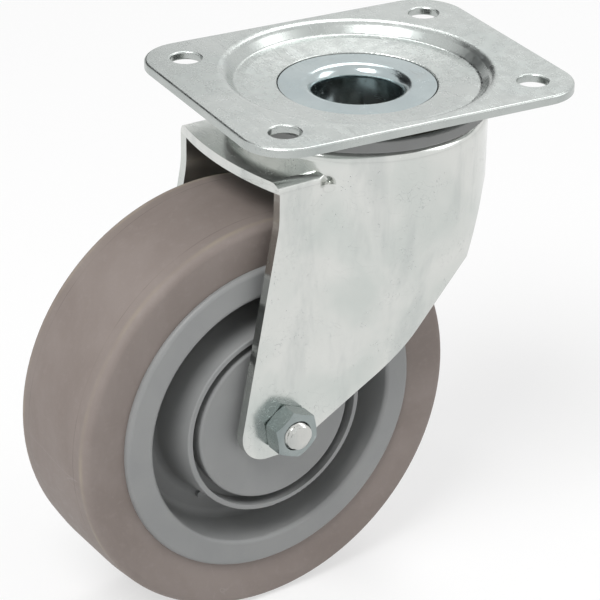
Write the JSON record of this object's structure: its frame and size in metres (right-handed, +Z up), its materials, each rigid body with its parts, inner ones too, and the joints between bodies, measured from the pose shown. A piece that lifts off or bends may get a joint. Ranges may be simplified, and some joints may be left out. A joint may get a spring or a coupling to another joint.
{
  "type": "swivel castor",
  "caption": "Plate-mounted swivel castor with a pressed steel fork, a hollow king pin and a solid rubber tyre on a plastic ball-bearing wheel.",
  "frame": {"origin": "on the swivel axis at the upper face of the top plate, at the centre of its bolt holes", "axes": "+Z up along the swivel axis, X along the plate's long side; at rest the wheel trails towards -X, turned 5.1 degrees about Z as pictured"},
  "size_m": [0.1565, 0.085, 0.155],
  "materials": {
    "zinc_steel": "bright zinc plated, satin",
    "bearing_steel": "ground and polished",
    "grey_plastic": "moulded, fine matt texture",
    "cage_nylon": "natural nylon",
    "tyre_rubber": "matt grey rubber"
  },
  "bodies": {
    "plate_assembly": {"top_plate": "zinc_steel", "king_pin": "zinc_steel", "lower_race": "bearing_steel"},
    "upper_row": {"upper_balls": "bearing_steel", "upper_retainer": "cage_nylon"},
    "lower_row": {"lower_balls": "bearing_steel", "lower_retainer": "cage_nylon"},
    "swivel_assembly": {"fork": "zinc_steel", "swivel_seal": "grey_plastic", "axle_bolt": "zinc_steel", "axle_nut": "zinc_steel", "axle_tube": "bearing_steel", "inner_spacer": "bearing_steel", "side_spacers": "bearing_steel", "left_bearing_inner_ring": "bearing_steel", "right_bearing_inner_ring": "bearing_steel"},
    "wheel_assembly": {"wheel_rim": "grey_plastic", "tyre": "tyre_rubber", "left_hub_cap": "grey_plastic", "right_hub_cap": "grey_plastic", "left_bearing_outer_ring": "bearing_steel", "right_bearing_outer_ring": "bearing_steel", "left_bearing_shields": "bearing_steel", "right_bearing_shields": "bearing_steel"},
    "left_ball_row": {"left_bearing_balls": "bearing_steel", "left_bearing_cage": "cage_nylon"},
    "right_ball_row": {"right_bearing_balls": "bearing_steel", "right_bearing_cage": "cage_nylon"}
  },
  "joints": [
    {"name": "swivel", "type": "hinge", "parent": "plate_assembly", "child": "swivel_assembly", "pos_m": [0, 0, 0], "axis": [0, 0, 1], "continuous": true},
    {"name": "upper_row_turn", "type": "hinge", "parent": "plate_assembly", "child": "upper_row", "pos_m": [0, 0, 0], "axis": [0, 0, 1], "continuous": true},
    {"name": "lower_row_turn", "type": "hinge", "parent": "plate_assembly", "child": "lower_row", "pos_m": [0, 0, 0], "axis": [0, 0, 1], "continuous": true},
    {"name": "wheel_spin", "type": "hinge", "parent": "swivel_assembly", "child": "wheel_assembly", "pos_m": [-0.04084, -0.00364, -0.0925], "axis": [-0.0889, 0.996, 0], "continuous": true},
    {"name": "left_cage_turn", "type": "hinge", "parent": "swivel_assembly", "child": "left_ball_row", "pos_m": [-0.04084, -0.00364, -0.0925], "axis": [-0.0889, 0.996, 0], "continuous": true},
    {"name": "right_cage_turn", "type": "hinge", "parent": "swivel_assembly", "child": "right_ball_row", "pos_m": [-0.04084, -0.00364, -0.0925], "axis": [-0.0889, 0.996, 0], "continuous": true}
  ],
  "couplings": [
    {"joint": "upper_row_turn", "follows": "swivel", "ratio": 0.5},
    {"joint": "lower_row_turn", "follows": "swivel", "ratio": 0.5},
    {"joint": "left_cage_turn", "follows": "wheel_spin", "ratio": 0.63523},
    {"joint": "right_cage_turn", "follows": "wheel_spin", "ratio": 0.63523}
  ]
}
